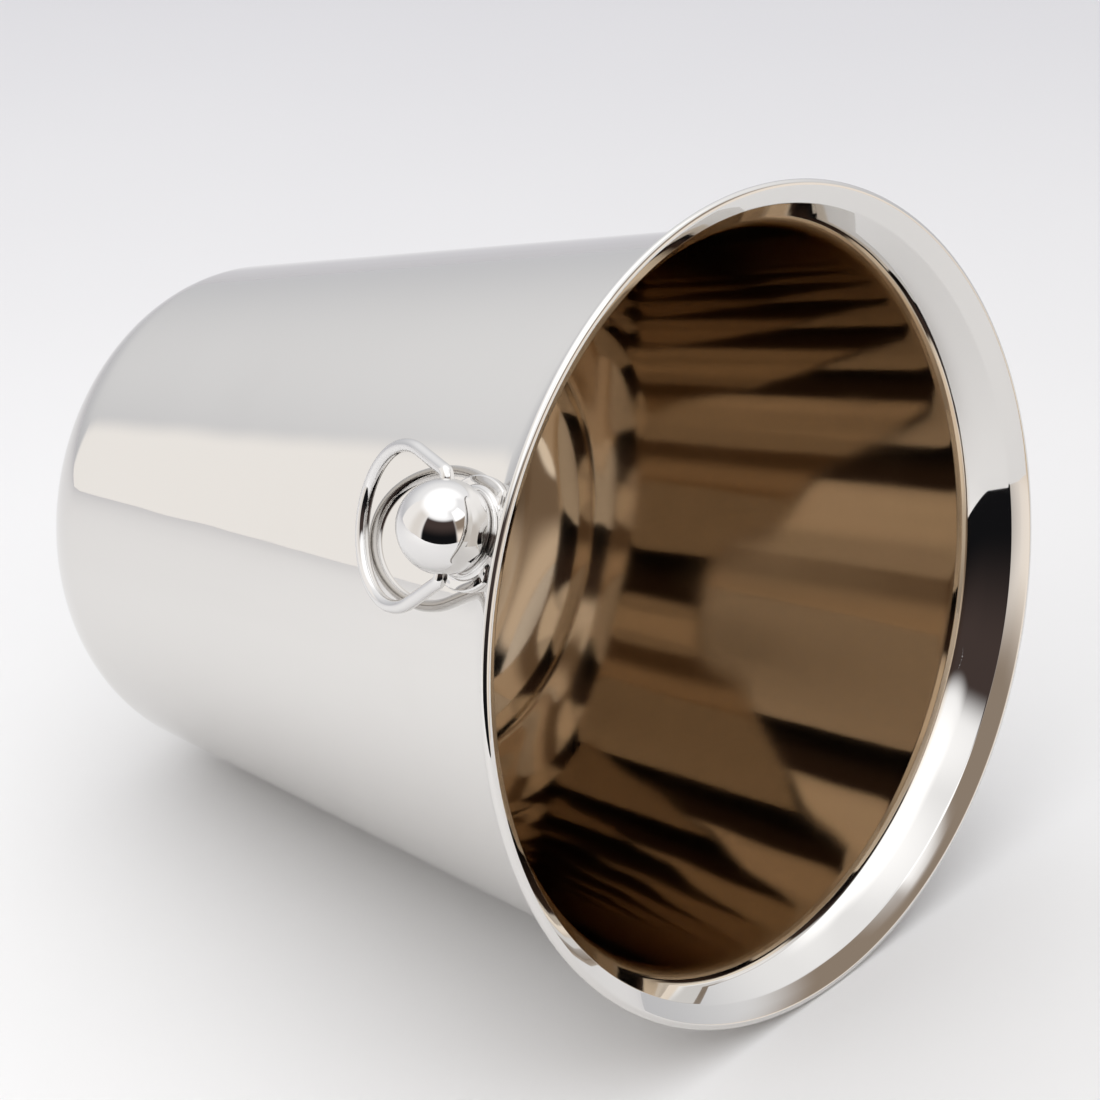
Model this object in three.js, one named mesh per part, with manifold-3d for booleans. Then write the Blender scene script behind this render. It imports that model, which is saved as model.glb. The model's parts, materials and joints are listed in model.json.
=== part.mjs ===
// A tapered steel wine bucket with a flared, curled rim and, on each side near the
// mouth, a round ball knob on a turned plate with a loose wire ring.
// Millimetres, +Z up. The origin is the middle of the foot, on the table.
import * as THREE from 'three';
import { mergeVertices } from 'three/addons/utils/BufferGeometryUtils.js';
import Module from 'manifold-3d';

const wasm = await Module();
wasm.setup();
const { Manifold, Mesh: SolidMesh } = wasm;

// ---- Driving dimensions ----
const HEIGHT = 211.5;             // table to the top of the rim
const BASE_RADIUS = 64.5;         // outer wall, carried straight down to the table
const WALL_TOP_RADIUS = 97.33;    // outer wall, carried straight up to the rim's height
const LIP_OVERHANG = 10.17;       // rim edge beyond the wall's line
const LIP_SLOPE = degrees(50);    // the lip's rise above level
const RIM_SLOPE = degrees(34);    // the flatter band that ends in the curled edge
const RIM_BAND = 5;               // width of that band
const RIM_BEND = 2;               // bend from the lip out to the band
const SHEET = 0.9;                // wall thickness
const CURL_RADIUS = 1.25;         // outside radius of the curled edge
const CURL_TURN = degrees(236);   // how far the sheet is curled round
const FLARE_RADIUS = 17;          // bend from the wall to the lip
const CORNER_RADIUS = 25.3;       // round corner between the wall and the foot
const FOOT_WIDTH = 5;             // flat ring that the bucket stands on
const PANEL_RAISE = 2.4;          // the middle of the bottom above the table
const PANEL_BEND = 3;             // bends of the step up to the raised middle
const PANEL_STEP_SLOPE = degrees(45);

const KNOB_DROP = 21.5;           // knob's middle below the top of the rim, along the axis
const BALL_RADIUS = 11.5;
const BALL_STANDOFF = 8.8;        // ball's middle above the wall
const PLATE_RADIUS = 14.2;
const PLATE_EDGE = 0.9;           // plate's edge above the wall, over the middle line
const PLATE_STEP_RADIUS = 10.8;   // raised seat under the ball
const PLATE_HEIGHT = 2.5;

const WIRE_RADIUS = 1.7;
const RING_RADIUS = 19.4;         // round end of the ring, to the wire's middle
const RING_REACH = 40.2;          // hinge line to the far end of the ring, to the wire's middle
const RING_BEND = 2.3;            // small bends beside the ball
const RING_END_DEPTH = 4.6;       // how far the wire goes into the ball

const STUD_RADIUS = 2;            // threaded stud welded to the outside of the wall
const STUD_REACH = 9.2;           // tip of the stud above the wall
const FLANGE_RADIUS = 2.8;        // the stud's welding flange
const FLANGE_HEIGHT = 0.8;

const CLEARANCE = 0.3;            // between pieces that touch
const SECTORS = 64;               // facets round the bucket

// The two handles. A ball is tightened a few degrees off level, and its cross hole can be
// tipped a little, so that the ring lies askew.
const HANDLES = [
  { side: 'right', azimuth: 0, turn: degrees(4.2), tip: degrees(-7) },
  { side: 'left', azimuth: Math.PI, turn: 0, tip: 0 },
];

// ---- Derived sizes ----
const LEAN = Math.atan((WALL_TOP_RADIUS - BASE_RADIUS) / HEIGHT);
const RIM_RADIUS = WALL_TOP_RADIUS + LIP_OVERHANG;
const KNOB_HEIGHT = HEIGHT - KNOB_DROP;
const BALL_SEAT = PLATE_HEIGHT + CLEARANCE;
const STUD_HOLE = STUD_RADIUS + CLEARANCE;
const PLATE_BORE = FLANGE_RADIUS + CLEARANCE;
const RING_HOLE = WIRE_RADIUS + CLEARANCE;
const WIRE_END = BALL_RADIUS - RING_END_DEPTH;
const BEND_START = BALL_RADIUS - 0.3;

function degrees(value) {
  return (value * Math.PI) / 180;
}

function wallRadius(z) {
  return BASE_RADIUS + z * Math.tan(LEAN);
}

// ---- Helpers ----
function arc(cx, cy, radius, from, to, steps) {
  const points = [];
  for (let i = 0; i <= steps; i += 1) {
    const angle = from + ((to - from) * i) / steps;
    points.push(new THREE.Vector2(cx + radius * Math.cos(angle), cy + radius * Math.sin(angle)));
  }
  return points;
}

function along(start, angle, distance) {
  return new THREE.Vector2(
    start.x + distance * Math.cos(angle),
    start.y + distance * Math.sin(angle),
  );
}

// A round solid about +Z from a closed outline of (radius, height) points, drawn
// anticlockwise. Points on the axis may start and end it.
function turned(outline, sectors) {
  const points = outline.map((point) => new THREE.Vector2(Math.max(point.x, 0), point.y));
  if (points[0].x > 0) points.push(points[0].clone());
  const geometry = new THREE.LatheGeometry(points, sectors);
  geometry.rotateX(Math.PI / 2);
  return geometry;
}

function toSolid(geometry) {
  const bare = geometry.clone();
  bare.deleteAttribute('normal');
  bare.deleteAttribute('uv');
  const merged = mergeVertices(bare, 1e-4);
  return new Manifold(new SolidMesh({
    numProp: 3,
    vertProperties: new Float32Array(merged.attributes.position.array),
    triVerts: new Uint32Array(merged.index.array),
  }));
}

function toGeometry(solid) {
  const mesh = solid.getMesh();
  const geometry = new THREE.BufferGeometry();
  geometry.setAttribute('position', new THREE.BufferAttribute(mesh.vertProperties, 3));
  geometry.setIndex(new THREE.BufferAttribute(mesh.triVerts, 1));
  geometry.computeVertexNormals();
  return geometry;
}

function rod(radius, from, to, sides) {
  const geometry = new THREE.CylinderGeometry(radius, radius, to - from, sides);
  geometry.rotateX(Math.PI / 2);
  geometry.translate(0, 0, (from + to) / 2);
  return geometry;
}

function steel(color, roughness) {
  return new THREE.MeshStandardMaterial({ color, roughness, metalness: 1 });
}

const mirrorSteel = steel(0xd9d9db, 0.05);
const castChrome = steel(0xdededf, 0.04);
const plainSteel = steel(0xb9babc, 0.25);

// ---- Bucket shell ----
// One surface of the sheet in (radius, height): body runs from the axis to the top of the
// lip, and curl is the curled edge. depth is how far it lies inside the outer surface.
function sheetSurface(depth) {
  const cornerMiddle = new THREE.Vector2(
    BASE_RADIUS + (CORNER_RADIUS * Math.sin(LEAN) - CORNER_RADIUS) / Math.cos(LEAN),
    CORNER_RADIUS,
  );
  const footOuter = cornerMiddle.x;
  const footInner = footOuter - FOOT_WIDTH;

  // The step from the foot up to the raised panel: a bend, a slope and a bend back.
  const bendRise = PANEL_BEND * (1 - Math.cos(PANEL_STEP_SLOPE));
  const bendRun = PANEL_BEND * Math.sin(PANEL_STEP_SLOPE);
  const slopeRun = (PANEL_RAISE - 2 * bendRise) / Math.tan(PANEL_STEP_SLOPE);
  const lowBend = new THREE.Vector2(footInner, PANEL_BEND + SHEET / 2);
  const panelEdge = footInner - 2 * bendRun - Math.max(slopeRun, 0);
  const highBend = new THREE.Vector2(panelEdge, PANEL_RAISE - PANEL_BEND + SHEET / 2);
  const towardInside = depth - SHEET / 2;

  const body = [new THREE.Vector2(0, PANEL_RAISE + depth)];
  body.push(...arc(
    highBend.x, highBend.y, PANEL_BEND + towardInside,
    Math.PI / 2, Math.PI / 2 - PANEL_STEP_SLOPE, 3,
  ));
  body.push(...arc(
    lowBend.x, lowBend.y, PANEL_BEND - towardInside,
    -Math.PI / 2 - PANEL_STEP_SLOPE, -Math.PI / 2, 3,
  ));
  body.push(...arc(
    cornerMiddle.x, cornerMiddle.y, CORNER_RADIUS - depth,
    -Math.PI / 2, -LEAN, 7,
  ));

  // The wall runs straight up to the flare, which bends it outwards to the lip's slope. A
  // smaller bend turns the lip further out into the rim band, which runs into the curl.
  const underside = SHEET - depth;
  const curlMiddle = new THREE.Vector2(RIM_RADIUS - CURL_RADIUS, HEIGHT - CURL_RADIUS);
  const acrossLip = LIP_SLOPE + Math.PI / 2;
  const acrossRim = RIM_SLOPE + Math.PI / 2;
  const crease = along(along(curlMiddle, acrossRim, CURL_RADIUS), RIM_SLOPE, -RIM_BAND);
  const wallPoint = new THREE.Vector2(BASE_RADIUS - SHEET / Math.cos(LEAN), 0);
  const wallAngle = Math.PI / 2 - LEAN;
  const corner = crossing(wallPoint, wallAngle, crease, LIP_SLOPE);
  const flareBend = wallAngle - LIP_SLOPE;
  const flareStart = along(corner, wallAngle, -FLARE_RADIUS * Math.tan(flareBend / 2));
  const flareMiddle = along(flareStart, -LEAN, FLARE_RADIUS);
  body.push(...arc(
    flareMiddle.x, flareMiddle.y, FLARE_RADIUS - underside,
    Math.PI - LEAN, acrossLip, 6,
  ));
  const rimBend = LIP_SLOPE - RIM_SLOPE;
  const bendStart = along(crease, LIP_SLOPE, -RIM_BEND * Math.tan(rimBend / 2));
  const bendMiddle = along(bendStart, acrossLip, -RIM_BEND);
  body.push(...arc(
    bendMiddle.x, bendMiddle.y, RIM_BEND - underside,
    acrossLip, acrossRim, 2,
  ));

  const curlSteps = depth > 0 ? 9 : 6;
  const curl = arc(
    curlMiddle.x, curlMiddle.y, CURL_RADIUS - underside,
    acrossRim, acrossRim - CURL_TURN, curlSteps,
  );
  return { body, curl };
}

// Where two straight lines, each given by a point and an angle, cross.
function crossing(a, angleA, b, angleB) {
  const gap = b.clone().sub(a);
  const across = Math.sin(angleA - angleB);
  const distance = (gap.y * Math.cos(angleB) - gap.x * Math.sin(angleB)) / across;
  return along(a, angleA, distance);
}

// Everything inside the outer face of the wall and the lip, grown by a gap: what the plates
// are cut to.
function wallBlank(gap) {
  const { body, curl } = sheetSurface(-gap);
  body[0].y = 0;
  const outline = [...body, curl[0], new THREE.Vector2(0, curl[0].y)];
  return toSolid(turned(outline, SECTORS));
}

function bucketShell() {
  const outer = sheetSurface(0);
  const inner = sheetSurface(SHEET);
  const outline = [
    ...outer.body, ...outer.curl,
    ...inner.curl.reverse(), ...inner.body.reverse(),
  ];
  return named(turned(outline, SECTORS), mirrorSteel, 'bucket_shell');
}

// ---- Handles ----
// A handle's own frame: origin on the wall's outer face, +Z straight out of the wall,
// +Y round the bucket and +X down the wall.
function handleFrame(handle) {
  const matrix = new THREE.Matrix4().makeTranslation(wallRadius(KNOB_HEIGHT), 0, KNOB_HEIGHT);
  matrix.multiply(new THREE.Matrix4().makeRotationY(Math.PI / 2 + LEAN));
  return new THREE.Matrix4().makeRotationZ(handle.azimuth).multiply(matrix);
}

// The turned plate between the ball and the wall, hollowed to sit on the wall.
function handlePlate(handle) {
  const buried = -4;
  const edge = 0.5;
  const outline = [
    new THREE.Vector2(PLATE_BORE, buried),
    new THREE.Vector2(PLATE_RADIUS, buried),
    ...arc(PLATE_RADIUS - edge, PLATE_EDGE - edge, edge, 0, Math.PI / 2, 3),
    new THREE.Vector2(PLATE_STEP_RADIUS + 1.4, PLATE_EDGE + 0.25),
    ...arc(
      PLATE_STEP_RADIUS + 1.1, PLATE_HEIGHT - 0.25, 1.1,
      -Math.PI / 2, -Math.PI, 3,
    ),
    new THREE.Vector2(PLATE_STEP_RADIUS - 0.3, PLATE_HEIGHT),
    new THREE.Vector2(PLATE_BORE, PLATE_HEIGHT),
  ];
  const blank = turned(outline, 32);
  const frame = handleFrame(handle);
  blank.applyMatrix4(frame);
  const seated = toSolid(blank).subtract(wallBlank(CLEARANCE));
  const geometry = toGeometry(seated);
  geometry.applyMatrix4(frame.clone().invert());
  return named(geometry, castChrome, `plate_${handle.side}`);
}

// The ball: flat where it sits on the plate, tapped for the stud and cross-drilled at
// both sides for the ring's ends.
function handleBall(handle) {
  const seat = Math.asin((BALL_STANDOFF - BALL_SEAT) / BALL_RADIUS);
  const outline = [
    new THREE.Vector2(0, BALL_SEAT),
    ...arc(0, BALL_STANDOFF, BALL_RADIUS, -seat, Math.PI / 2, 13),
  ];
  let ball = toSolid(turned(outline, 28));
  ball = ball.subtract(toSolid(rod(STUD_HOLE, BALL_SEAT - 2, STUD_REACH + CLEARANCE, 16)));
  for (const side of [1, -1]) {
    const hole = rod(RING_HOLE, WIRE_END - CLEARANCE, BALL_RADIUS + 2, 16);
    hole.rotateX(-side * Math.PI / 2);
    hole.applyMatrix4(ringFrame(handle, REST_LEAN[handle.side]));
    ball = ball.subtract(toSolid(hole));
  }
  return named(toGeometry(ball), castChrome, `ball_${handle.side}`);
}

// The ring's frame inside the handle's: origin at the ball's middle, +Y along the hinge
// line, +X from the hinge to the far end of the ring, which leans toward the wall.
function ringFrame(handle, lean) {
  const turn = new THREE.Euler(handle.tip, lean, handle.turn, 'ZYX');
  const matrix = new THREE.Matrix4().makeTranslation(0, 0, BALL_STANDOFF);
  return matrix.multiply(new THREE.Matrix4().makeRotationFromEuler(turn));
}

// The wire's middle line: straight ends on the hinge line, a small bend beside the ball,
// a straight side and the round far end. All points lie in the ring's own XY plane.
class RingLine extends THREE.Curve {
  constructor() {
    super();
    const middle = RING_REACH - RING_RADIUS;
    const toBend = new THREE.Vector2(RING_BEND - middle, BEND_START);
    const spread = Math.acos((RING_RADIUS - RING_BEND) / toBend.length());
    const side = toBend.angle() - spread;
    this.flat = new THREE.Path();
    this.flat.moveTo(0, WIRE_END);
    this.flat.lineTo(0, BEND_START);
    this.flat.absarc(RING_BEND, BEND_START, RING_BEND, Math.PI, side, true);
    this.flat.absarc(middle, 0, RING_RADIUS, side, -side, true);
    this.flat.absarc(RING_BEND, -BEND_START, RING_BEND, -side, -Math.PI, true);
    this.flat.lineTo(0, -WIRE_END);
  }

  getPoint(t, target = new THREE.Vector3()) {
    const point = this.flat.getPoint(t);
    return target.set(point.x, point.y, 0);
  }
}

const ringLine = new RingLine();

// How far a ring's wire stays from the wall, at its closest, when the ring leans so far.
function wallGap(handle, lean) {
  const frame = handleFrame(handle).multiply(ringFrame(handle, lean));
  const gaps = ringLine.getSpacedPoints(80).map((point) => {
    point.applyMatrix4(frame);
    return (Math.hypot(point.x, point.y) - wallRadius(point.z)) * Math.cos(LEAN);
  });
  return Math.min(...gaps) - WIRE_RADIUS;
}

// The lean at which a ring comes to rest on the wall, found by halving.
function restLean(handle) {
  let free = 0;
  let blocked = degrees(60);
  for (let i = 0; i < 30; i += 1) {
    const lean = (free + blocked) / 2;
    if (wallGap(handle, lean) > CLEARANCE) free = lean;
    else blocked = lean;
  }
  return free;
}

const REST_LEAN = Object.fromEntries(HANDLES.map((handle) => [handle.side, restLean(handle)]));

function handleRing(handle) {
  const section = new THREE.Shape();
  section.absarc(0, 0, WIRE_RADIUS, 0, 2 * Math.PI, false);
  const geometry = new THREE.ExtrudeGeometry(section, {
    steps: 110,
    curveSegments: 6,
    bevelEnabled: false,
    extrudePath: ringLine,
  });
  geometry.applyMatrix4(ringFrame(handle, REST_LEAN[handle.side]));
  return named(geometry, castChrome, `ring_${handle.side}`);
}

// The stud that holds the plate and the ball: its flange is welded to the outside of the
// wall, so the wall's inside stays plain.
function weldStud(handle) {
  const point = 0.6;
  const outline = [
    new THREE.Vector2(0, CLEARANCE),
    new THREE.Vector2(FLANGE_RADIUS, CLEARANCE),
    new THREE.Vector2(FLANGE_RADIUS, CLEARANCE + FLANGE_HEIGHT),
    new THREE.Vector2(STUD_RADIUS, CLEARANCE + FLANGE_HEIGHT),
    new THREE.Vector2(STUD_RADIUS, STUD_REACH - point),
    new THREE.Vector2(STUD_RADIUS - point, STUD_REACH),
    new THREE.Vector2(0, STUD_REACH),
  ];
  return named(turned(outline, 24), plainSteel, `weld_stud_${handle.side}`);
}

function named(geometry, material, name) {
  const mesh = new THREE.Mesh(geometry, material);
  mesh.name = name;
  return mesh;
}

function handleGroup(handle) {
  const group = new THREE.Group();
  group.applyMatrix4(handleFrame(handle));
  group.add(handlePlate(handle));
  group.add(handleBall(handle));
  group.add(handleRing(handle));
  group.add(weldStud(handle));
  return group;
}

const bucket = new THREE.Group();
bucket.add(bucketShell());
for (const handle of HANDLES) bucket.add(handleGroup(handle));

export default bucket;
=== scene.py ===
# %% [markdown]
# # A polished wine bucket, lying on its side
#
# The real object is one sheet of stainless steel, spun into a tapered bucket with a flared lip
# and a curled edge, and polished like a mirror. Near the mouth each side carries a turned plate,
# a ball knob that is screwed onto it, and a loose ring of bright wire.
#
# A mirror has almost no colour of its own. What makes it look like steel is an exact, smooth
# surface and a room worth reflecting. So this lesson spends its effort on three things: surfaces
# worked out with numpy, polish that isn't quite perfect, and a small studio round the object.

import json
import math

import bmesh
import bpy
import numpy as np
from mathutils import Matrix, Vector


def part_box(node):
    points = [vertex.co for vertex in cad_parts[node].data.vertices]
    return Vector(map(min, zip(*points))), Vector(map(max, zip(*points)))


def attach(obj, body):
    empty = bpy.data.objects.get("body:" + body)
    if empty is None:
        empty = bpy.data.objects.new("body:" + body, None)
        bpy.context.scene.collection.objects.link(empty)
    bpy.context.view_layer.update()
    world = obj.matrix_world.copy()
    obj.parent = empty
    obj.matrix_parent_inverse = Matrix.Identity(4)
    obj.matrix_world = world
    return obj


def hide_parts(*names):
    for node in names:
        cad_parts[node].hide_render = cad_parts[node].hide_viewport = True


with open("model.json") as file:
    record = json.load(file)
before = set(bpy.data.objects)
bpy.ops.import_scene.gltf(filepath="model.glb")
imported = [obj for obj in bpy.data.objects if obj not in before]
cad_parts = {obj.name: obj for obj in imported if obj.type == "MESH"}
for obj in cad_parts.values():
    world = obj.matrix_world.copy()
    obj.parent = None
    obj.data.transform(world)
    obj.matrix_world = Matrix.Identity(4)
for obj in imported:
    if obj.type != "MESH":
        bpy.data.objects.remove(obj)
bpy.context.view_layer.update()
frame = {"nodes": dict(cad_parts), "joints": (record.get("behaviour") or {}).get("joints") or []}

# %% [markdown]
# ## Sizes
#
# These are the maker's own sizes for the sheet, its bends, the knob and the wire, in millimetres,
# made metres once. The frame's own size of the bucket is printed beside them as a check.

# %% Sizes in metres
MM = 0.001
shell_low, shell_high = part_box("bucket_shell")

HEIGHT = 211.5 * MM
RIM_RADIUS = 107.5 * MM
BASE_RADIUS = 64.5 * MM
WALL_TOP_RADIUS = 97.33 * MM
SHEET = 0.9 * MM
LIP_SLOPE = math.radians(50)
RIM_SLOPE = math.radians(34)
RIM_BAND = 5 * MM
RIM_BEND = 2 * MM
CURL_RADIUS = 1.25 * MM
CURL_TURN = math.radians(236)
FLARE_RADIUS = 17 * MM
CORNER_RADIUS = 25.3 * MM
FOOT_WIDTH = 5 * MM
PANEL_RAISE = 2.4 * MM
PANEL_BEND = 3 * MM
PANEL_STEP_SLOPE = math.radians(45)

LEAN = math.atan((WALL_TOP_RADIUS - BASE_RADIUS) / HEIGHT)
KNOB_HEIGHT = HEIGHT - 21.5 * MM
BALL_RADIUS = 11.5 * MM
BALL_STANDOFF = 8.8 * MM
PLATE_RADIUS = 14.2 * MM
PLATE_EDGE = 0.9 * MM
PLATE_STEP_RADIUS = 10.8 * MM
PLATE_HEIGHT = 2.5 * MM
HOLE_LIP = 0.35 * MM
CLEARANCE = 0.3 * MM
STUD_RADIUS = 2 * MM
STUD_REACH = 9.2 * MM
FLANGE_RADIUS = 2.8 * MM
FLANGE_HEIGHT = 0.8 * MM

WIRE_RADIUS = 1.7 * MM
RING_RADIUS = 19.4 * MM
RING_REACH = 40.2 * MM
RING_BEND = 2.3 * MM
RING_END = BALL_RADIUS - 4.6 * MM
BEND_START = BALL_RADIUS - 0.3 * MM

print(f"shell in the frame: {shell_high.x - shell_low.x:.4f} m across, {shell_high.z:.4f} m high")

# %% [markdown]
# ## From a grid of points to a mesh
#
# Every piece here is a surface with two parameters. numpy works out all its points at once as an
# array of rows, and one function turns any such array into a mesh. Where a row shrinks to a
# point, as at the middle of the bottom, merging the doubles closes the pole.

# %% One function that makes a mesh of a grid
MERGE = 1e-7


def quads(rows, columns, offset=0):
    """Corner numbers of the faces of a grid that closes on itself along its columns."""
    i, j = np.meshgrid(np.arange(rows - 1), np.arange(columns), indexing="ij")
    k = (j + 1) % columns
    here, above = i * columns, (i + 1) * columns
    corners = np.stack([here + j, here + k, above + k, above + j], -1)
    return corners.reshape(-1, 4) + offset


def piece(name, grids, material, body, nodes=()):
    """A smooth closed piece from one or more grids, each an array of rows x columns x 3."""
    points, faces, count = [], [], 0
    for grid in grids:
        rows, columns = grid.shape[:2]
        faces.append(quads(rows, columns, count))
        points.append(grid.reshape(-1, 3))
        count += rows * columns
    mesh = bpy.data.meshes.new(name)
    mesh.from_pydata(np.concatenate(points), [], np.concatenate(faces).tolist())
    work = bmesh.new()
    work.from_mesh(mesh)
    bmesh.ops.remove_doubles(work, verts=work.verts, dist=MERGE)
    bmesh.ops.recalc_face_normals(work, faces=work.faces)
    open_edges = sum(1 for edge in work.edges if len(edge.link_faces) != 2)
    work.to_mesh(mesh)
    work.free()
    mesh.shade_smooth()
    mesh.materials.append(material)
    made = bpy.data.objects.new(name, mesh)
    bpy.context.scene.collection.objects.link(made)
    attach(made, body)
    if nodes:
        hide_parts(*nodes)
    print(f"{name}: {len(mesh.polygons)} faces, {open_edges} open edges")
    return made


# %% [markdown]
# Round things start as an outline of arcs and straight lines. The outline is filled with points
# close together, turned about an axis into a grid, and carried to its place by a matrix.

# %% Outlines from arcs and straight lines, and turning them about an axis
def arc(centre, radius, start, end, step=math.radians(3)):
    """Points on a circle from one angle to another, a few degrees apart."""
    angles = np.linspace(start, end, max(2, math.ceil(abs(end - start) / step) + 1))
    return np.stack([centre[0] + radius * np.cos(angles), centre[1] + radius * np.sin(angles)], -1)


def filled(points, step):
    """The same outline with no gap longer than step, so that a mirror surface stays exact."""
    out = [points[:1]]
    for a, b in zip(points[:-1], points[1:]):
        count = max(1, math.ceil(float(np.linalg.norm(b - a)) / step))
        share = np.arange(1, count + 1)[:, None] / count
        out.append(a + (b - a) * share)
    return np.concatenate(out)


def turned(outline, columns):
    """A solid of revolution about Z: each (radius, height) becomes a circle of points."""
    angles = np.arange(columns) * 2 * math.pi / columns
    radius = np.maximum(outline[:, :1], 0)
    x, y = radius * np.cos(angles), radius * np.sin(angles)
    return np.stack([x, y, np.broadcast_to(outline[:, 1:], x.shape)], -1)


def placed(grid, matrix):
    """The grid's points carried from a piece's own frame into the object's."""
    m = np.array(matrix)
    return grid @ m[:3, :3].T + m[:3, 3]


# %% [markdown]
# ## Shader maths as Python expressions
#
# Wrapping a socket in a small class lets a material read like a formula. An expression such as
# `0.04 + smudge * 0.1` adds its Math nodes by itself.

# %% A wrapped socket
class Field:
    """A number that varies over a surface, as the output of a node."""

    def __init__(self, tree, socket):
        self.tree, self.socket = tree, socket

    def maths(self, operation, *others):
        made = self.tree.nodes.new("ShaderNodeMath")
        made.operation = operation
        for slot, value in zip(made.inputs, others):
            if isinstance(value, Field):
                self.tree.links.new(value.socket, slot)
            else:
                slot.default_value = value
        return Field(self.tree, made.outputs[0])

    def __add__(self, other):
        return self.maths("ADD", self, other)

    def __radd__(self, other):
        return self.maths("ADD", other, self)

    def __sub__(self, other):
        return self.maths("SUBTRACT", self, other)

    def __rsub__(self, other):
        return self.maths("SUBTRACT", other, self)

    def __mul__(self, other):
        return self.maths("MULTIPLY", self, other)

    def __rmul__(self, other):
        return self.maths("MULTIPLY", other, self)

    def clipped(self, low, high):
        return self.maths("MINIMUM", self.maths("MAXIMUM", self, low), high)

    def larger(self, other):
        return self.maths("MAXIMUM", self, other)

    def root(self):
        return self.maths("SQRT", self)

    def arcsine(self):
        return self.maths("ARCSINE", self)

    def angle_from(self, other):
        """The angle whose sine is this value and whose cosine is the other."""
        return self.maths("ARCTAN2", self, other)

    def rising(self, low, high):
        """0 below low, 1 above high, and a smooth step between them."""
        made = self.tree.nodes.new("ShaderNodeMapRange")
        made.interpolation_type = "SMOOTHSTEP"
        made.inputs["From Min"].default_value = low
        made.inputs["From Max"].default_value = high
        self.tree.links.new(self.socket, made.inputs["Value"])
        return Field(self.tree, made.outputs["Result"])


class Shader:
    """A node tree that is built by naming node types, settings and sockets."""

    def __init__(self, tree):
        self.tree = tree
        tree.nodes.clear()

    def node(self, kind, settings=None, **sockets):
        """Any node: its settings first, then the values or links of its sockets."""
        made = self.tree.nodes.new("ShaderNode" + kind)
        for key, value in (settings or {}).items():
            setattr(made, key, value)
        for key, value in sockets.items():
            self.join(made.inputs[key.replace("_", " ")], value)
        return made

    def join(self, slot, value):
        if isinstance(value, Field):
            self.tree.links.new(value.socket, slot)
        elif isinstance(value, bpy.types.NodeSocket):
            self.tree.links.new(value, slot)
        else:
            slot.default_value = value

    def field(self, socket):
        return Field(self.tree, socket)

    def noise(self, vector, scale, detail=2.0, roughness=0.5):
        made = self.node("TexNoise", Vector=vector, Scale=scale, Detail=detail, Roughness=roughness)
        return self.field(made.outputs["Fac"])

    def mix(self, factor, first, second):
        """Two colours mixed by a factor."""
        made = self.node("Mix", {"data_type": "RGBA"})
        for slot, value in zip((0, 6, 7), (factor, first, second)):
            self.join(made.inputs[slot], value)
        return made.outputs[2]

    def reach(self, vector, direction):
        """How far a point or a direction goes along a fixed direction: a dot product."""
        made = self.node("VectorMath", {"operation": "DOT_PRODUCT"})
        self.join(made.inputs[0], vector)
        made.inputs[1].default_value = tuple(direction)
        return self.field(made.outputs["Value"])


# %% [markdown]
# ## Polished metal
#
# Under a mirror finish the sheet keeps traces of how it was made and used: a slow waviness from
# spinning, hair-fine scratches round the body, and faint smudges where hands have been. Each is
# too weak to see as a mark, and together they bend and soften the reflections a little.
#
# The sheet's two faces share one material. A point belongs to the inside when it is nearer the
# axis than the middle of the sheet, and there the metal is painted darker and warmer: painted shade
# and painted reflection, standing in for the many reflections between the walls of a deep mirror.

# %% Which side of the sheet a point is on
CORNER_TOP = CORNER_RADIUS * (1 - math.sin(LEAN))
CORNER_MIDDLE = (
    BASE_RADIUS + (CORNER_RADIUS * math.sin(LEAN) - CORNER_RADIUS) / math.cos(LEAN),
    CORNER_RADIUS,
)
SHEET_MIDDLE = 0.55 * SHEET


# Where the bucket's inside gets its painted shade and painted reflection.
def inside_shade_share(s, place):
    """1 on the sheet's inside and 0 outside, told apart at the sheet's middle."""
    parts = s.node("SeparateXYZ", Vector=place)
    x, y, z = (s.field(parts.outputs[axis]) for axis in "XYZ")
    radius = (x * x + y * y).root()
    beyond = (radius - CORNER_MIDDLE[0]).larger(0)
    below = (CORNER_MIDDLE[1] - z).larger(0)
    corner = (beyond * beyond + below * below).root() - (CORNER_RADIUS - SHEET_MIDDLE)
    wall = radius - (z * math.tan(LEAN) + (BASE_RADIUS - SHEET_MIDDLE))
    high = z.rising(CORNER_TOP - SHEET, CORNER_TOP + SHEET)
    outside = (wall * high + corner * (1 - high)).rising(-0.2 * SHEET, 0.2 * SHEET)
    return (1 - outside) * z.rising(PANEL_RAISE + 0.3 * SHEET, PANEL_RAISE + 0.7 * SHEET)


# %% The polished finish
def polished(name, colour, dark, roughness, wave_height, stretch, scratch_scale, inside=None):
    """Metal whose polish varies: smudges and scratches in the roughness, waves in the bump."""
    material = bpy.data.materials.new(name)
    material.use_nodes = True
    s = Shader(material.node_tree)
    place = s.node("TexCoord").outputs["Object"]
    along = s.node("Mapping", Vector=place, Scale=stretch).outputs["Vector"]
    smudge = s.noise(place, 22.0, 4.0, 0.55).rising(0.52, 0.75)
    cloud = s.noise(place, 9.0, 2.0)
    scratch = s.noise(along, scratch_scale, 3.0, 0.7).rising(0.60, 0.80)
    wave = s.noise(along, 6.0, 1.0)
    height = wave * wave_height + scratch * (wave_height * 0.002)
    bump = s.node("Bump", Height=height, Strength=1.0, Distance=1.0)
    tone = s.mix((cloud * 0.7 + smudge * 0.3).clipped(0, 1), colour, dark)
    rough = roughness + smudge * 0.035 + scratch * 0.02
    # Painted shade and painted reflection: the inside is coloured darker and warmer.
    if inside:
        share = inside_shade_share(s, place)
        tone = s.mix(share, tone, inside)
        rough = rough + share * 0.015
    shader = s.node(
        "BsdfPrincipled",
        Base_Color=tone,
        Metallic=1.0,
        Roughness=rough,
        Normal=bump.outputs["Normal"],
    )
    s.node("OutputMaterial", Surface=shader.outputs["BSDF"])
    return material


# The inside colour here is painted shade and painted reflection, darker and warmer than the outside.
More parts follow.
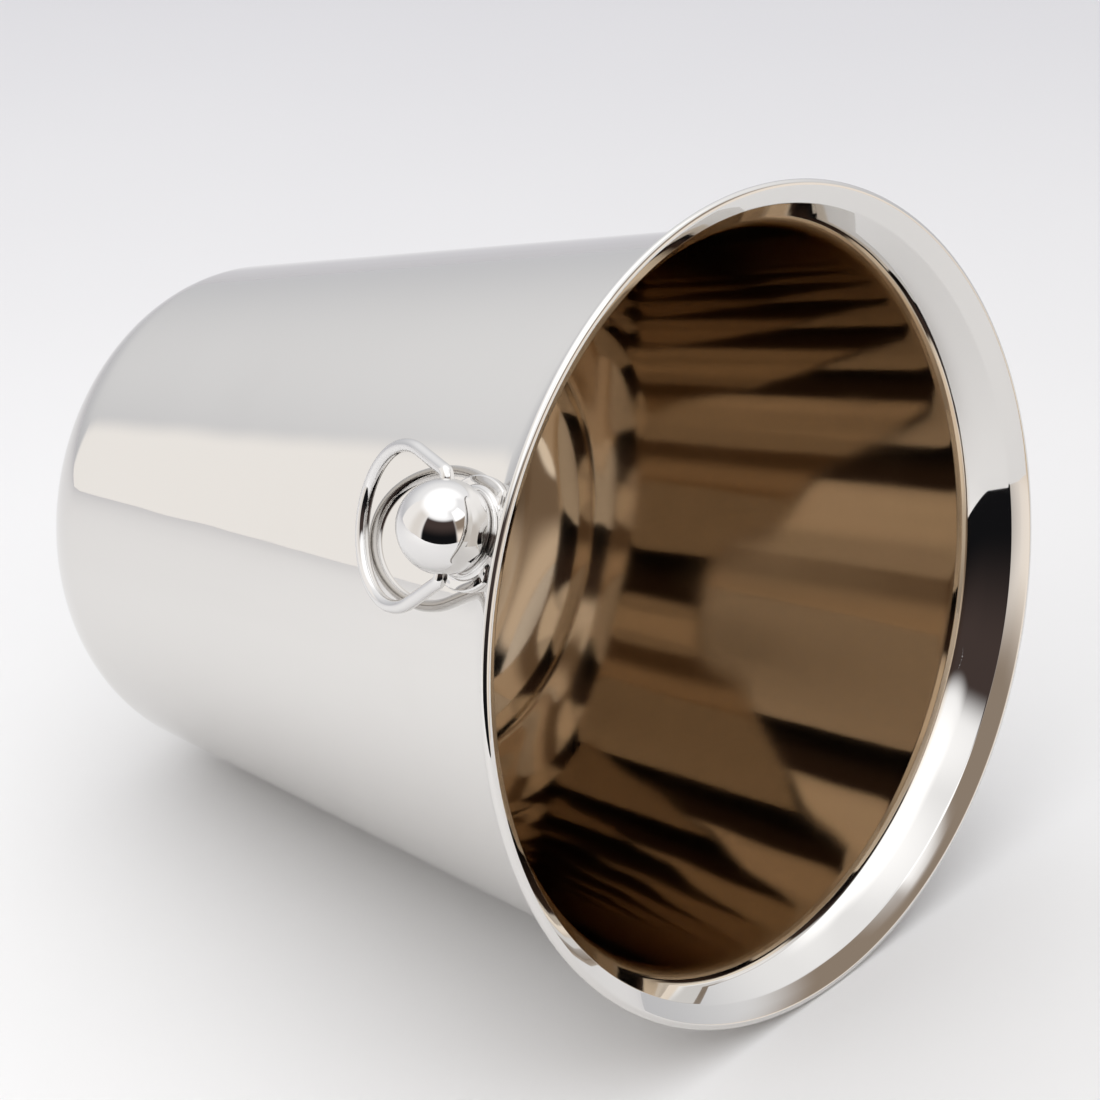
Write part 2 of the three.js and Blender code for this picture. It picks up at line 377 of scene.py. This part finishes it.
bucket_steel = polished(
    "bucket_steel", (0.74, 0.725, 0.705, 1), (0.70, 0.685, 0.665, 1), 0.025,
    wave_height=0.00022, stretch=(1, 1, 3.5), scratch_scale=420.0,
    inside=(0.64, 0.565, 0.475, 1),
)
knob_chrome = polished(
    "knob_chrome", (0.76, 0.75, 0.74, 1), (0.72, 0.71, 0.70, 1), 0.02,
    wave_height=0.00002, stretch=(1, 1, 1), scratch_scale=700.0,
)
ring_chrome = polished(
    "ring_chrome", (0.76, 0.75, 0.74, 1), (0.70, 0.69, 0.68, 1), 0.04,
    wave_height=0.00004, stretch=(1, 1, 1), scratch_scale=900.0,
)
stud_steel = polished(
    "stud_steel", (0.62, 0.62, 0.63, 1), (0.5, 0.5, 0.51, 1), 0.3,
    wave_height=0.00002, stretch=(1, 1, 4), scratch_scale=1200.0,
)
print("materials", sorted(m.name for m in bpy.data.materials))


# %% [markdown]
# ## The bucket
#
# One sheet of even thickness. Its outline is straight lines joined by arcs: the raised middle of
# the bottom, the flat foot ring, a big round corner, the straight wall, the flare, the sloping
# lip and the curled edge. Working the outline out once for the outer face and once a sheet's
# thickness further in gives both faces of a real wall.

# %% The outline of one face of the sheet
def wall_radius(z):
    return BASE_RADIUS + z * math.tan(LEAN)


def crossing(a, angle_a, b, angle_b):
    """Where two straight lines, each a point and an angle, cross."""
    gap = (b[0] - a[0], b[1] - a[1])
    across = gap[1] * math.cos(angle_b) - gap[0] * math.sin(angle_b)
    distance = across / math.sin(angle_a - angle_b)
    return a[0] + distance * math.cos(angle_a), a[1] + distance * math.sin(angle_a)


CURL_MIDDLE = (RIM_RADIUS - CURL_RADIUS, HEIGHT - CURL_RADIUS)
BAND_TOP = (
    CURL_MIDDLE[0] - CURL_RADIUS * math.sin(RIM_SLOPE),
    CURL_MIDDLE[1] + CURL_RADIUS * math.cos(RIM_SLOPE),
)
CREASE = (
    BAND_TOP[0] - RIM_BAND * math.cos(RIM_SLOPE),
    BAND_TOP[1] - RIM_BAND * math.sin(RIM_SLOPE),
)
WALL_ANGLE = math.pi / 2 - LEAN
INNER_BASE = (BASE_RADIUS - SHEET / math.cos(LEAN), 0)
FLARE_CORNER = crossing(INNER_BASE, WALL_ANGLE, CREASE, LIP_SLOPE)
FLARE_BACK = FLARE_RADIUS * math.tan((WALL_ANGLE - LIP_SLOPE) / 2)
FLARE_START = (
    FLARE_CORNER[0] - FLARE_BACK * math.cos(WALL_ANGLE),
    FLARE_CORNER[1] - FLARE_BACK * math.sin(WALL_ANGLE),
)


def sheet_face(depth):
    """(body, curl): from the bottom's middle to the curled edge, depth inside the outer face."""
    foot_inner = CORNER_MIDDLE[0] - FOOT_WIDTH
    rise = PANEL_BEND * (1 - math.cos(PANEL_STEP_SLOPE))
    run = PANEL_BEND * math.sin(PANEL_STEP_SLOPE)
    slope_run = max((PANEL_RAISE - 2 * rise) / math.tan(PANEL_STEP_SLOPE), 0)
    low_bend = (foot_inner, PANEL_BEND + SHEET / 2)
    high_bend = (foot_inner - 2 * run - slope_run, PANEL_RAISE - PANEL_BEND + SHEET / 2)
    inward = depth - SHEET / 2
    lip, rim = LIP_SLOPE + math.pi / 2, RIM_SLOPE + math.pi / 2
    back = RIM_BEND * math.tan((LIP_SLOPE - RIM_SLOPE) / 2)
    bend_start = (CREASE[0] - back * math.cos(LIP_SLOPE), CREASE[1] - back * math.sin(LIP_SLOPE))
    bend = (bend_start[0] - RIM_BEND * math.cos(lip), bend_start[1] - RIM_BEND * math.sin(lip))
    flare = (
        FLARE_START[0] + FLARE_RADIUS * math.cos(LEAN),
        FLARE_START[1] - FLARE_RADIUS * math.sin(LEAN),
    )
    under = SHEET - depth
    half = math.pi / 2
    body = np.concatenate([
        [(0, PANEL_RAISE + depth)],
        arc(high_bend, PANEL_BEND + inward, half, half - PANEL_STEP_SLOPE, math.radians(9)),
        arc(low_bend, PANEL_BEND - inward, -half - PANEL_STEP_SLOPE, -half, math.radians(9)),
        arc(CORNER_MIDDLE, CORNER_RADIUS - depth, -half, -LEAN),
        arc(flare, FLARE_RADIUS - under, math.pi - LEAN, lip, math.radians(2.5)),
        arc(bend, RIM_BEND - under, lip, rim, math.radians(2.5)),
    ])
    curl = arc(CURL_MIDDLE, CURL_RADIUS - under, rim, rim - CURL_TURN, math.radians(8))
    return body, curl


# %% [markdown]
# The outer face's outline up to the curl, and the inner face's back down, make one closed line.
# Turned about Z it is the whole bucket, with a real thickness everywhere.

# %% Both faces of the sheet, turned into the bucket
WALL_STEP = 3 * MM
SECTORS = 224

outer_body, outer_curl = sheet_face(0)
inner_body, inner_curl = sheet_face(SHEET)
sheet_outline = np.concatenate([outer_body, outer_curl, inner_curl[::-1], inner_body[::-1]])
bucket = piece(
    "bucket_sheet", [turned(filled(sheet_outline, WALL_STEP), SECTORS)],
    bucket_steel, "bucket", ["bucket_shell"],
)

# %% [markdown]
# ## The handles
#
# Each handle has its own frame: the origin on the wall's outer face, +Z straight out of the wall,
# +Y round the bucket and +X down the wall. A handle is built there once and carried to its side.
# The ring's frame comes from the frame's joint: its origin and its hinge line are what the ring
# swings about, so the wire's ends always sit in the ball's holes.

# %% Frames of the two handles and their rings
def handle_frame(azimuth):
    wall = Matrix.Translation((wall_radius(KNOB_HEIGHT), 0, KNOB_HEIGHT))
    return Matrix.Rotation(azimuth, 4, "Z") @ wall @ Matrix.Rotation(math.pi / 2 + LEAN, 4, "Y")


def ring_frame(joint, node):
    """Origin at the ball's middle, +Y along the hinge line and +X from it to the ring's far end."""
    middle = Vector(joint["pos_m"])
    hinge = -Vector(joint["axis"]).normalized()
    points = np.array([v.co for v in frame["nodes"][node].data.vertices])
    offset = points - np.array(middle)
    across = offset - np.outer(offset @ np.array(hinge), np.array(hinge))
    far = Vector(across[np.argsort(-np.linalg.norm(across, axis=1))[:40]].mean(0)).normalized()
    out = far.cross(hinge)
    rotation = Matrix((far, hinge, out)).transposed().to_4x4()
    return Matrix.Translation(middle) @ rotation


JOINTS = {joint["child"]: joint for joint in frame["joints"]}
HANDLES = {
    side: (handle_frame(azimuth), ring_frame(JOINTS[f"ring_{side}"], f"ring_{side}"))
    for side, azimuth in (("right", 0.0), ("left", math.pi))
}

# %% [markdown]
# ### The plate
#
# A turned washer with a rounded edge and a raised seat for the ball. Its underside follows the
# wall, which curves away round the bucket, so each point of it is found by solving for where a
# line along +Z meets the cone of the wall.

# %% The plate, fitted to the wall
def wall_depth(x, y):
    """Height of the wall's outer face over the handle's own XY plane: the root of a quadratic."""
    across = wall_radius(KNOB_HEIGHT) - x * math.sin(LEAN)
    out = math.cos(LEAN)
    down = math.sin(LEAN) ** 2 / out
    b = 2 * across * (out + down)
    c = out * out - down * down
    return (-b + np.sqrt(b * b - 4 * c * y * y)) / (2 * c)


def under_lip(grid):
    """The plate's rim drawn in where it would run into the flare: radii squeezed to a straight line."""
    start = PLATE_STEP_RADIUS + 0.3 * MM
    inner = FLARE_RADIUS - SHEET
    reach = math.sqrt(inner ** 2 - (inner - CLEARANCE) ** 2)
    line = (FLARE_START[1] - KNOB_HEIGHT) / math.cos(LEAN) + reach
    radius = np.hypot(grid[..., 0], grid[..., 1])
    upward = np.maximum(-grid[..., 0] / np.maximum(radius, MERGE), 0.1)
    room = np.clip((line / upward - start) / (PLATE_RADIUS - start), 0.05, 1)
    new = np.where(radius > start, start + (radius - start) * room, radius)
    scaled = grid.copy()
    scaled[..., :2] *= (new / np.maximum(radius, MERGE))[..., None]
    return scaled


def plate_grid():
    edge = 0.5 * MM
    bore = FLANGE_RADIUS + CLEARANCE
    top = np.concatenate([
        [(PLATE_RADIUS, -0.2 * MM)],
        arc((PLATE_RADIUS - edge, PLATE_EDGE - edge), edge, 0, math.pi / 2, math.radians(9)),
        arc(
            (PLATE_STEP_RADIUS + 1.1 * MM, PLATE_HEIGHT - 0.25 * MM), 1.1 * MM,
            -math.pi / 2, -math.pi, math.radians(9),
        ),
        arc(
            (PLATE_STEP_RADIUS - 0.3 * MM, PLATE_HEIGHT - 0.3 * MM), 0.3 * MM,
            0, math.pi / 2, math.radians(15),
        ),
        [(bore, PLATE_HEIGHT)],
    ])
    columns = 120
    upper = under_lip(turned(filled(top, 0.8 * MM), columns))
    radii = np.linspace(bore, PLATE_RADIUS, 16)
    lower = under_lip(turned(np.stack([radii, np.zeros_like(radii)], -1), columns))
    lower[..., 2] = wall_depth(lower[..., 0], lower[..., 1]) + CLEARANCE
    return np.concatenate([lower, upper, lower[:1]])


for side, (handle, ring) in HANDLES.items():
    piece(
        f"knob_plate_{side}", [placed(plate_grid(), handle)],
        knob_chrome, "bucket", [f"plate_{side}"],
    )

# %% [markdown]
# ### The ball
#
# A ball with three holes in it can't be one grid. It is a patchwork: each patch fills the space
# between a closed loop of directions, its border, and a smaller loop, the mouth of its hole. Its
# points are those two loops blended and pushed out to the ball's radius. Patches share their
# borders point for point, so they merge into one closed skin.

# %% The patches of the ball
SIDE = 28


def unit(v):
    return v / np.linalg.norm(v, axis=-1, keepdims=True)


def ball_patch(border, mouth, rows=22):
    """Directions blended from a patch's border to its mouth, on the unit ball."""
    share = np.linspace(0, 1, rows)[:, None, None]
    return unit(border[None] * (1 - share) + mouth[None] * share)


def loop_about(axis, start, angle, count):
    """A circle of directions at an angle from axis, its first point on the side of start."""
    u = unit(start - axis * (start @ axis))
    v = np.cross(axis, u)
    turn = np.arange(count)[:, None] * 2 * math.pi / count
    return axis * math.cos(angle) + (u * np.cos(turn) + v * np.sin(turn)) * math.sin(angle)


def corner_points():
    """The ball's upper square of directions and the seat's circle below it, corner by corner."""
    steps = np.linspace(-math.pi / 4, math.pi / 4, SIDE, endpoint=False)
    turn = np.arange(4)[:, None] * math.pi / 2 + steps
    upper = unit(np.stack([np.cos(turn), np.sin(turn), 0.95 * np.cos(steps) + 0 * turn], -1))
    seat = math.acos((BALL_STANDOFF - PLATE_HEIGHT - CLEARANCE) / BALL_RADIUS)
    lower = np.stack([
        np.cos(turn) * math.sin(seat), np.sin(turn) * math.sin(seat), 0 * turn - math.cos(seat),
    ], -1)
    return upper, lower


def hole_rows(axis, start, radius, depth, count):
    """A drilled hole with a rounded mouth: circles about axis from the ball's face to its bottom."""
    u = unit(start - axis * (start @ axis))
    v = np.cross(axis, u)
    turn = np.arange(count)[:, None] * 2 * math.pi / count
    face = math.sqrt(BALL_RADIUS ** 2 - (radius + HOLE_LIP) ** 2)
    bend = np.linspace(0, math.pi / 2, 6)
    radii = np.concatenate([radius + HOLE_LIP * (1 - np.sin(bend)), [radius, 0]])
    heights = np.concatenate([face - HOLE_LIP * (1 - np.cos(bend)), [depth, depth]])
    ring = u * np.cos(turn) + v * np.sin(turn)
    return heights[:, None, None] * axis + radii[:, None, None] * ring


def ball_grids(handle, ring):
    hole = WIRE_RADIUS + CLEARANCE
    into = handle.to_3x3().inverted()
    hinge = np.array(into @ ring.to_3x3().col[1])
    upper, lower = corner_points()
    rest = 4 * SIDE
    top = upper.reshape(-1, 3)
    grids = [BALL_RADIUS * ball_patch(top, np.broadcast_to([0, 0, 1.0], top.shape))]
    for side in range(4):
        nxt = (side + 1) % 4
        a, b = upper[side], lower[side]
        rise = np.linspace(0, 1, SIDE, endpoint=False)[:, None]
        right = unit(b_start(lower, nxt) * (1 - rise) + b_start(upper, nxt) * rise)
        left = unit(b_start(upper, side) * (1 - rise) + b_start(lower, side) * rise)
        top_edge = np.concatenate([b_start(upper, nxt)[None], a[:0:-1]])
        border = np.concatenate([b, right, top_edge, left])
        quarter = side * math.pi / 2
        outward = unit(np.array([math.cos(quarter), math.sin(quarter), 0.0]))
        drilled = abs(outward @ hinge) > 0.5
        axis = hinge * np.sign(outward @ hinge) if drilled else outward
        if drilled:
            angle = math.asin((hole + HOLE_LIP) / BALL_RADIUS)
            mouth = loop_about(axis, border[0], angle, rest)
            grids.append(BALL_RADIUS * ball_patch(border, mouth))
            grids.append(hole_rows(axis, border[0], hole, RING_END - CLEARANCE, rest))
        else:
            grids.append(BALL_RADIUS * ball_patch(border, np.broadcast_to(axis, border.shape)))
    grids.append(seat_rows(lower.reshape(-1, 3)))
    return [placed(grid + np.array([0, 0, BALL_STANDOFF]), handle) for grid in grids]


def b_start(loop, side):
    """The first point of one side of a four-sided loop."""
    return loop[side, 0]


def seat_rows(circle):
    """The flat seat, from the ball's edge in to the stud's hole, and the hole up to its end."""
    edge = circle * BALL_RADIUS
    around = unit(edge * [1, 1, 0])
    hole = STUD_RADIUS + CLEARANCE
    seat = edge[0, 2]
    end = STUD_REACH + CLEARANCE - BALL_STANDOFF
    radii = np.concatenate([np.linspace(np.hypot(edge[0, 0], edge[0, 1]), hole, 10), [hole, 0]])
    heights = np.concatenate([np.full(10, seat), [end, end]])
    return radii[:, None, None] * around + heights[:, None, None] * np.array([0, 0, 1.0])


for side, (handle, ring) in HANDLES.items():
    piece(
        f"ball_knob_{side}", ball_grids(handle, ring),
        knob_chrome, "bucket", [f"ball_{side}"],
    )

# %% [markdown]
# ### The stud
#
# A short threaded stud that is welded to the wall by its flange. It hardly shows, but it is what
# holds the knob. The thread is a helix: the radius rises and falls with height minus turn.

# %% The stud with its thread
def stud_grid():
    columns, pitch, groove = 48, 0.7 * MM, 0.32 * MM
    foot = filled(np.array([
        (0, CLEARANCE), (FLANGE_RADIUS, CLEARANCE), (FLANGE_RADIUS, CLEARANCE + FLANGE_HEIGHT),
        (STUD_RADIUS, CLEARANCE + FLANGE_HEIGHT),
    ]), 0.7 * MM)
    heights = np.linspace(CLEARANCE + FLANGE_HEIGHT + 0.05 * MM, STUD_REACH - 0.6 * MM, 90)
    turn = np.arange(columns) / columns
    phase = heights[:, None] / pitch - turn
    depth = groove * np.abs(2 * (phase - np.floor(phase + 0.5)))
    shaft = turned(np.stack([np.full_like(heights, STUD_RADIUS), heights], -1), columns)
    shaft[..., :2] *= ((STUD_RADIUS - depth) / STUD_RADIUS)[..., None]
    tip = turned(np.array([(STUD_RADIUS - 0.6 * MM, STUD_REACH), (0, STUD_REACH)]), columns)
    return np.concatenate([turned(foot, columns), shaft, tip])


for side, (handle, ring) in HANDLES.items():
    piece(
        f"threaded_stud_{side}", [placed(stud_grid(), handle)],
        stud_steel, "bucket", [f"weld_stud_{side}"],
    )

# %% [markdown]
# ### The ring
#
# A bent wire: two straight ends on the hinge line, a small bend beside each end of the ball's
# hole, a straight side and one big round end. The middle line lies in a plane, so the section's
# two directions are the plane's normal and the sideways direction in the plane.

# %% The ring's wire along its route
def ring_route():
    """Points and sideways directions of the wire's middle line, in the ring's own XY plane."""
    middle = RING_REACH - RING_RADIUS
    to_bend = (RING_BEND - middle, BEND_START)
    spread = math.acos((RING_RADIUS - RING_BEND) / math.hypot(*to_bend))
    lean = math.atan2(to_bend[1], to_bend[0]) - spread
    step = math.radians(4)
    half = np.concatenate([
        np.stack([np.zeros(8), np.linspace(RING_END, BEND_START, 8)], -1)[:-1],
        arc((RING_BEND, BEND_START), RING_BEND, math.pi, lean, step),
        arc((middle, 0), RING_RADIUS, lean, 0, math.radians(2)),
    ])
    route = filled(np.concatenate([half, (half * [1, -1])[-2::-1]]), 1.2 * MM)
    ahead = np.gradient(route, axis=0)
    ahead[-1] = (0, 1) if ahead[-2, 1] > 0 else (0, -1)
    ahead[0] = (0, 1) if ahead[1, 1] > 0 else (0, -1)
    return route, unit(ahead)


WIRE_SIDES = 32


def ring_grid():
    """The wire: circles about the route, drawn in to a rounded tip at each end."""
    route, ahead = ring_route()
    bend = np.linspace(0, math.pi / 2, 5)
    tip = 0.5 * MM
    start = route[0] - ahead[0] * tip * np.sin(bend[::-1])[:, None] + ahead[0] * tip
    end = route[-1] + ahead[-1] * tip * np.sin(bend)[:, None] - ahead[-1] * tip
    keep = slice(1, -1)
    line = np.concatenate([start, route[keep], end])
    heading = np.concatenate([np.repeat(ahead[:1], 5, 0), ahead[keep], np.repeat(ahead[-1:], 5, 0)])
    thick = np.concatenate([np.cos(bend[::-1]), np.ones(len(route) - 2), np.cos(bend)]) * WIRE_RADIUS
    turn = np.arange(WIRE_SIDES)[:, None] * 2 * math.pi / WIRE_SIDES
    sideways = np.stack([-heading[:, 1], heading[:, 0], np.zeros(len(heading))], -1)
    middle = np.concatenate([line, np.zeros((len(line), 1))], 1)
    round_section = sideways[:, None] * np.cos(turn) + np.array([0, 0, 1.0]) * np.sin(turn)
    return middle[:, None] + thick[:, None, None] * round_section


for side, (handle, ring) in HANDLES.items():
    piece(
        f"wire_ring_{side}", [placed(ring_grid(), ring)],
        ring_chrome, f"ring_{side}", [f"ring_{side}"],
    )

# %% [markdown]
# ## The camera and the surface that the bucket lies on
#
# The model stands on its foot, and here it lies on its side. So the floor comes to the bucket:
# it is the plane that touches the curled edge and the round corner at once, a line that is
# tangent to two circles in the outline's own plane.

# %% The plane under the bucket
LIE_AZIMUTH = math.radians(122)
span = Vector((CURL_MIDDLE[0] - CORNER_MIDDLE[0], CURL_MIDDLE[1] - CORNER_MIDDLE[1]))
fall = math.atan2(span.y, span.x) - math.acos((CORNER_RADIUS - CURL_RADIUS) / span.length)
FLOOR_DOWN = Vector((
    math.cos(fall) * math.cos(LIE_AZIMUTH),
    math.cos(fall) * math.sin(LIE_AZIMUTH),
    math.sin(fall),
))
FLOOR_UP = -FLOOR_DOWN
touch = CURL_MIDDLE[0] * math.cos(fall) + CURL_MIDDLE[1] * math.sin(fall) + CURL_RADIUS
FLOOR_AT = FLOOR_DOWN * touch
print("floor's up direction", [round(v, 4) for v in FLOOR_UP], "distance", round(touch, 5))

# %% [markdown]
# The camera stands a little over a metre away with a long lens, as for a table-top picture. Its
# up direction is the floor's, so the floor lies level in the picture.

# %% The camera
EYE = Vector((0.81592, 0.03108, 0.84686))
AIM_DIRECTION = Vector((-0.75207, -0.03202, -0.65831))


def turned_to(direction, up):
    """A rotation whose -Z looks along direction, with up at the top of the picture."""
    back = -direction.normalized()
    right = up.cross(back).normalized()
    return Matrix((right, back.cross(right), back)).transposed().to_4x4()


lens = bpy.data.cameras.new("camera")
lens.sensor_width = 36
lens.lens = 135.2
lens.clip_end = 100
camera = bpy.data.objects.new("camera", lens)
camera.matrix_world = Matrix.Translation(EYE) @ turned_to(AIM_DIRECTION, FLOOR_UP)
bpy.context.scene.collection.objects.link(camera)
bpy.context.scene.camera = camera
print("camera at", [round(v, 3) for v in EYE], "lens", round(lens.lens, 1), "mm")

# %% [markdown]
# The floor is one sheet of pale paper, painted darker with distance as painted shade where the light
# falls off. Its underside is clear, so that it hides nothing from a view taken from below it.

# %% The floor
AHEAD = (AIM_DIRECTION - FLOOR_UP * AIM_DIRECTION.dot(FLOOR_UP)).normalized()
RIGHT = AHEAD.cross(FLOOR_UP).normalized()


def floor_sheet(left, right, near, far):
    """One flat sheet of paper, its face up, reaching so far from the bucket to each side."""
    sides = [(-left, -near), (right, -near), (right, far), (-left, far)]
    corners = [tuple(FLOOR_AT + RIGHT * a + AHEAD * b) for a, b in sides]
    mesh = bpy.data.meshes.new("floor")
    mesh.from_pydata(corners, [], [(0, 1, 2, 3)])
    sheet = bpy.data.objects.new("floor", mesh)
    bpy.context.scene.collection.objects.link(sheet)
    return sheet


floor = floor_sheet(left=1.6, right=0.7, near=0.85, far=4.0)
print("floor faces", [round(v, 3) for v in floor.data.polygons[0].normal])
paper = bpy.data.materials.new("floor_paper")
paper.use_nodes = True
s = Shader(paper.node_tree)
place = s.node("TexCoord").outputs["Object"]
# Painted shade: the paper is coloured darker away from the camera, where the light falls off.
far = s.reach(place, AHEAD).rising(-0.15, 0.75)
mottle = s.noise(place, 3.0, 3.0)
tone = s.mix(far * 0.8 + mottle * 0.2, (0.87, 0.87, 0.87, 1), (0.56, 0.56, 0.595, 1))
plain = s.node("BsdfPrincipled", Base_Color=tone, Roughness=0.75)
clear = s.node("BsdfTransparent")
both = s.node("MixShader", Fac=s.field(s.node("NewGeometry").outputs["Backfacing"]))
s.join(both.inputs[1], plain.outputs["BSDF"])
s.join(both.inputs[2], clear.outputs["BSDF"])
s.node("OutputMaterial", Surface=both.outputs["Shader"])
floor.data.materials.append(paper)

# %% [markdown]
# ## The room that the mirror sees
#
# The room is a sky of broad patches in the floor's own directions: pale paper ahead, a warm wall
# to the left, an unlit room behind the camera, and soft white boxes overhead and to the right.
# The camera itself only sees a plain pale backdrop. Every direction has two angles: its elevation
# over the floor, and `behind`, which is 0 straight behind the camera and positive to its left.

# %% The room's light by direction
IN_DEGREES = 180 / math.pi
CEILING_BOX = (1.5, 1.5, 1.51, 1)
CAMERA_BACKDROP = (0.82, 0.82, 0.845, 1)

world = bpy.data.worlds.new("studio")
bpy.context.scene.world = world
world.use_nodes = True
s = Shader(world.node_tree)
look = s.node("TexCoord").outputs["Generated"]
elevation = s.reach(look, FLOOR_UP).arcsine() * IN_DEGREES
leftward, backward = (s.reach(look, way) * -1.0 for way in (RIGHT, AHEAD))
behind = leftward.angle_from(backward) * IN_DEGREES


def between(value, low, high, soft):
    """1 from low to high and 0 outside, with soft edges."""
    return value.rising(low - soft, low + soft) * (1 - value.rising(high - soft, high + soft))


backdrop = s.mix(elevation.rising(-5, 38), (0.66, 0.665, 0.69, 1), (1.06, 1.06, 1.07, 1))
left_wall = s.mix(between(behind, 55, 85, 12), (1.10, 1.07, 1.04, 1), (0.92, 0.87, 0.82, 1))
sides = s.mix(between(behind, 52, 119, 2.5), backdrop, left_wall)
right_room = s.mix(elevation.rising(4, 22), (1.10, 1.00, 0.90, 1), (0.34, 0.27, 0.21, 1))
sides = s.mix(between(behind, -108, -30, 8) * (1 - elevation.rising(34, 42)), sides, right_room)
unlit = s.mix(elevation.rising(2, 30), (0.008, 0.008, 0.009, 1), (0.07, 0.05, 0.045, 1))
sides = s.mix(between(behind, -31, 52, 3) * (1 - elevation.rising(38, 47)), sides, unlit)
wood = between(behind, -90, -36, 6) * (1 - elevation.rising(-10, -4))
sides = s.mix(wood, sides, (0.75, 0.62, 0.48, 1))
boxes = elevation.rising(38, 58)
unlit_ceiling = between(behind, -125, -18, 14) * (1 - elevation.rising(58, 72))
boxes = boxes * (1 - unlit_ceiling)
boxes = boxes.larger(between(behind, -75, -36, 3) * between(elevation, 37, 60, 2))
room = s.mix(boxes, sides, CEILING_BOX)
seen = s.field(s.node("LightPath").outputs["Is Camera Ray"])
shown = s.mix(seen, room, CAMERA_BACKDROP)
background = s.node("Background", Color=shown, Strength=1.0)
s.node("OutputWorld", Surface=background.outputs["Background"])
print("world nodes", len(world.node_tree.nodes))

# %% [markdown]
# A large soft lamp opens up the shadow. The mirror doesn't show it, because a round white patch
# in the steel would give it away.

# %% A soft fill from the camera's left
FILL_DISTANCE = 1.5
fill = bpy.data.lights.new("fill", "AREA")
fill.shape = "DISK"
fill.size = 1.2
fill.energy = 6.0
lamp = bpy.data.objects.new("fill", fill)
fill_side = (-AHEAD * 0.75 - RIGHT * 0.55 + FLOOR_UP * 0.6).normalized()
lamp.matrix_world = Matrix.Translation(FLOOR_AT + fill_side * FILL_DISTANCE) @ turned_to(-fill_side, FLOOR_UP)
lamp.visible_glossy = False
bpy.context.scene.collection.objects.link(lamp)
print("fill", fill.energy, "W,", FILL_DISTANCE, "m away")

# %% [markdown]
# The plain view transform keeps the white paper white. The extra bounces let light travel in and
# out of the bucket, where each wall mirrors the other.

# %% Plain colours, and enough bounces for a mirror that sees itself
bpy.context.scene.view_settings.view_transform = "Standard"
MIRROR_BOUNCES = 18
bpy.context.scene.cycles.max_bounces = MIRROR_BOUNCES
bpy.context.scene.cycles.glossy_bounces = MIRROR_BOUNCES
